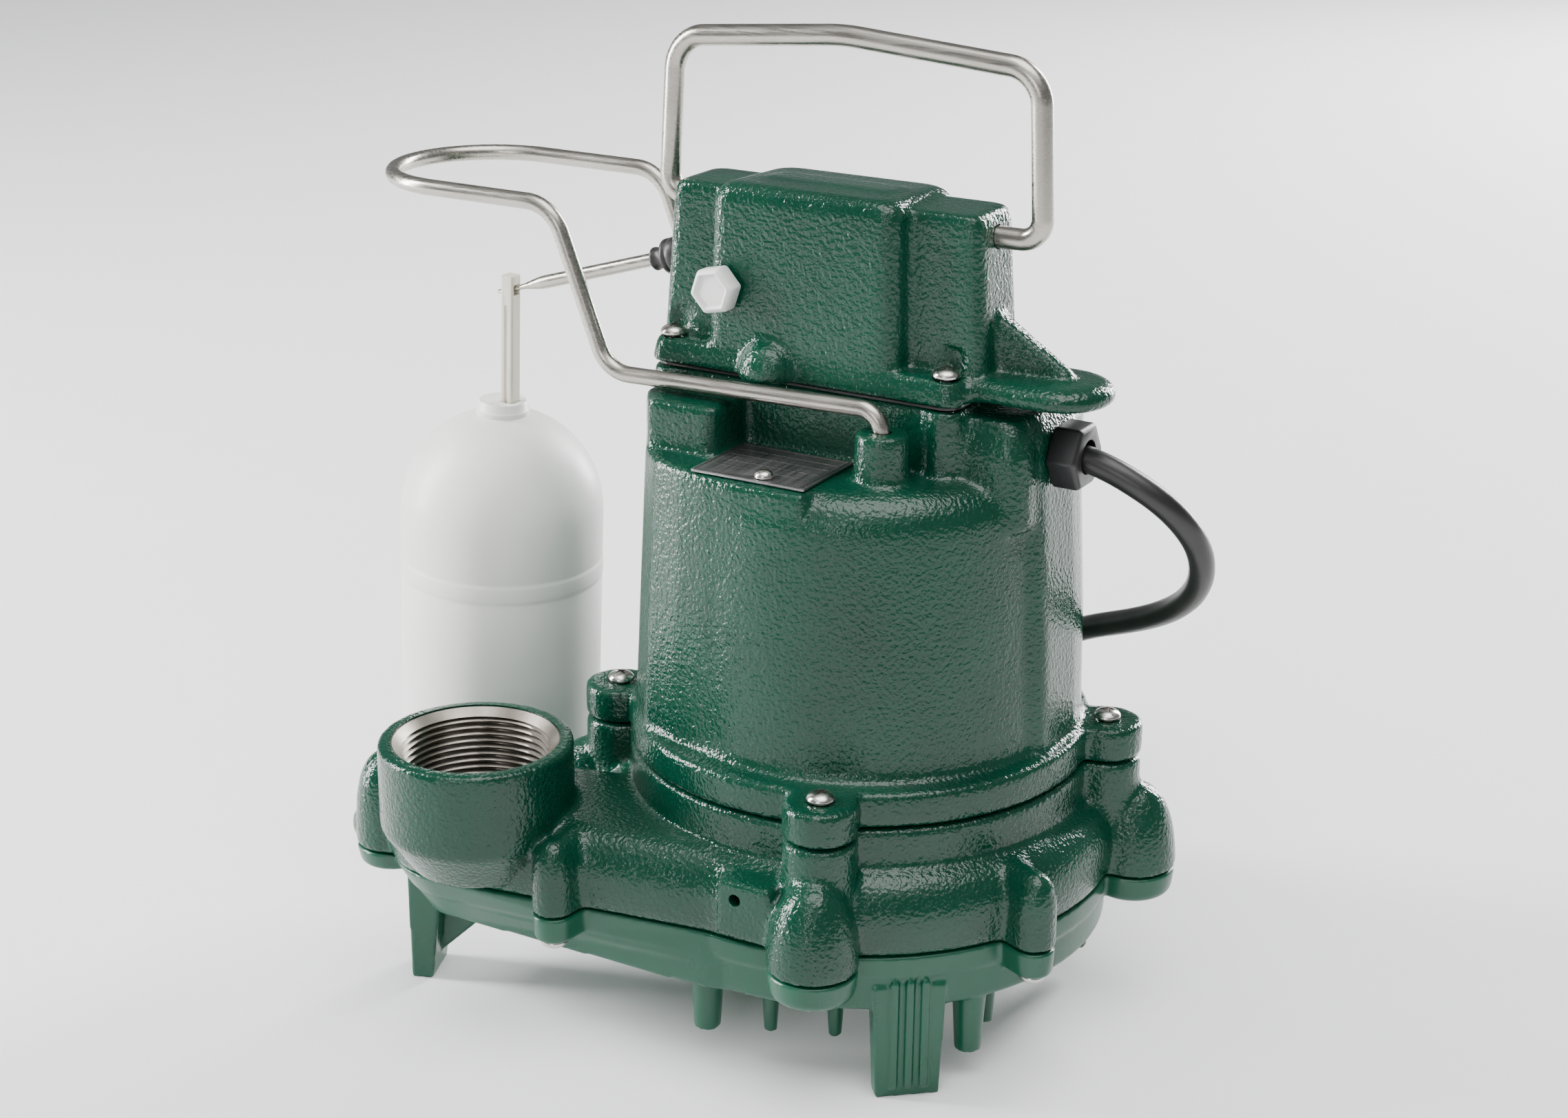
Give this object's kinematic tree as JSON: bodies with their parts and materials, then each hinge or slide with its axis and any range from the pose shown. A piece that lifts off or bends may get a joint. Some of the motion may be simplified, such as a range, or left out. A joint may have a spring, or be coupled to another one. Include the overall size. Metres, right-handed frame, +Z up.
{
  "type": "submersible sump pump",
  "caption": "Cast green pump with a round motor barrel, a switch case and carry handle on top, an upright threaded outlet, and a white float on an arm inside a wire guard.",
  "frame": {"origin": "on the floor, under the middle of the pump's outer box without its cord", "axes": "+Z up; X runs along the switch case, the float on the -X side and the cord gland on the +X side; the nameplate and the discharge are on the -Y side"},
  "size_m": [0.273, 0.3272, 0.3001],
  "materials": {
    "cast_green": "glossy enamel over a rough casting",
    "plastic_green": "satin moulding",
    "steel": "brushed stainless",
    "dark_steel": "laminated",
    "brass": "machined",
    "bronze": "sintered",
    "copper": "enamelled wire",
    "rubber": "satin",
    "black_plastic": "satin",
    "white_plastic": "gloss",
    "float_plastic": "satin, slightly translucent",
    "rod_plastic": "translucent",
    "ceramic": "lapped",
    "plate": "brushed"
  },
  "bodies": {
    "pump": {"base_plate": "plastic_green", "base_screw_1": "steel", "base_screw_2": "steel", "base_screw_3": "steel", "base_screw_4": "steel", "base_screw_5": "steel", "base_screw_6": "steel", "base_screw_7": "steel", "base_screw_8": "steel", "case_plug": "white_plastic", "cord_coil": "rubber", "cord_gland_body": "black_plastic", "cord_gland_nut": "black_plastic", "float_guard": "steel", "housing_seal_ring": "rubber", "lower_bearing": "bronze", "motor_housing": "cast_green", "motor_housing_screw_1": "steel", "motor_housing_screw_2": "steel", "motor_housing_screw_3": "steel", "motor_housing_screw_4": "steel", "nameplate": "plate", "nameplate_rivet": "steel", "overload_protector": "black_plastic", "plug_blade_line": "brass", "plug_blade_neutral": "brass", "plug_body": "black_plastic", "plug_ground_pin": "brass", "power_cord": "rubber", "pump_housing": "cast_green", "shaft_seal_seat": "ceramic", "snap_switch": "black_plastic", "stator_core": "dark_steel", "stator_winding_bottom": "copper", "stator_winding_top": "copper", "switch_case": "cast_green", "switch_case_gasket": "rubber", "switch_case_screw_1": "steel", "switch_case_screw_2": "steel", "switch_case_screw_3": "steel", "switch_case_screw_4": "steel", "upper_bearing": "bronze"},
    "rotor": {"motor_shaft": "steel", "rotor_core": "dark_steel", "impeller": "black_plastic", "impeller_nut": "brass", "shaft_seal_head": "black_plastic"},
    "arm": {"switch_arm": "steel", "arm_boot": "rubber"},
    "float": {"float": "float_plastic", "float_rod": "rod_plastic"},
    "plunger": {"switch_plunger": "white_plastic"},
    "handle": {"carry_handle": "steel"}
  },
  "joints": [
    {"name": "rotor_spin", "type": "hinge", "parent": "pump", "child": "rotor", "pos_m": [0.0358, 0.0076, 0.11], "axis": [0, 0, 1], "continuous": true},
    {"name": "arm_pivot", "type": "hinge", "parent": "pump", "child": "arm", "pos_m": [-0.0278, 0.0044, 0.2266], "axis": [0, 1, 0], "range_deg": [0, 20]},
    {"name": "float_swing", "type": "hinge", "parent": "arm", "child": "float", "pos_m": [-0.0904, 0.0044, 0.2074], "axis": [0, 1, 0], "range_deg": [-20, 0]},
    {"name": "plunger_slide", "type": "slide", "parent": "pump", "child": "plunger", "axis": [0, 0, -1], "range_m": [0, 0.00524]},
    {"name": "handle_swing", "type": "hinge", "parent": "pump", "child": "handle", "pos_m": [0.0306, 0.0044, 0.245], "axis": [1, 0, 0], "range_deg": [-120, 120]}
  ],
  "couplings": [
    {"joint": "float_swing", "follows": "arm_pivot", "ratio": -1},
    {"joint": "plunger_slide", "follows": "arm_pivot", "m_per_rad": 0.015}
  ]
}
